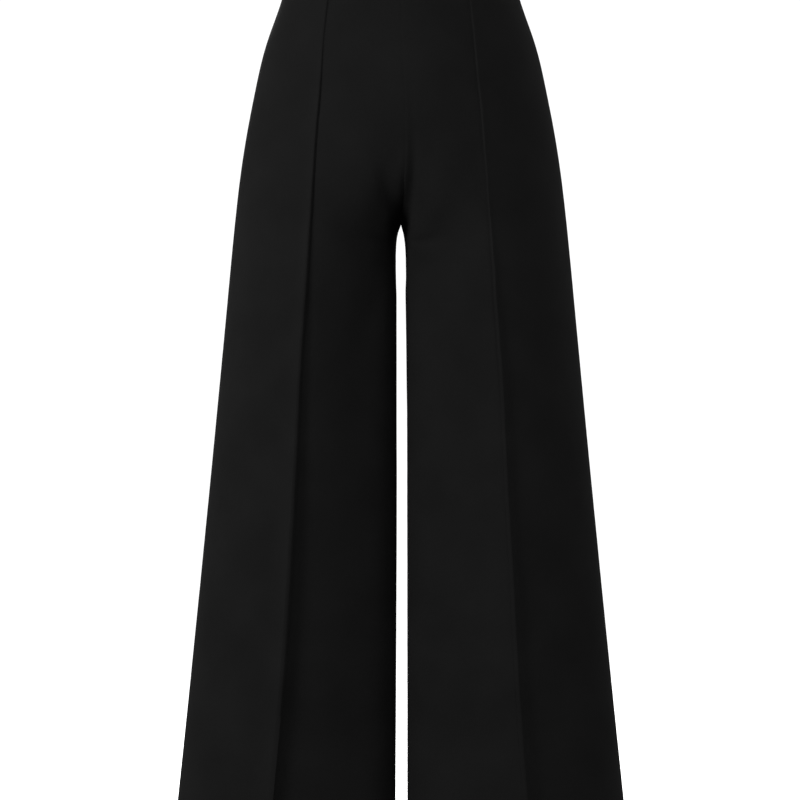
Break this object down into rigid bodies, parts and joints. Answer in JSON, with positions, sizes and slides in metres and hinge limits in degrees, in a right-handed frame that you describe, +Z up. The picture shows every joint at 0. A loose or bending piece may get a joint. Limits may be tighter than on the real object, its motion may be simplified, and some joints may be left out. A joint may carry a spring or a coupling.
{
  "type": "palazzo pants",
  "caption": "High-waisted, wide-legged trousers in plain black knit, filled out as worn, with a raised stitched crease down each front leg and a plain waistband.",
  "frame": {"origin": "middle of the waistband, where the wearer's waist holds the garment up", "axes": "+Z up along the wearer's trunk, +X towards the wearer's left; the front faces -Y"},
  "size_m": [0.523, 0.2415, 1.0685],
  "materials": {
    "black_double_knit": "matt, dense double knit, deep black"
  },
  "bodies": {
    "root": {"waistband": "black_double_knit", "right_front": "black_double_knit", "right_back": "black_double_knit", "left_front": "black_double_knit", "left_back": "black_double_knit"}
  },
  "joints": []
}
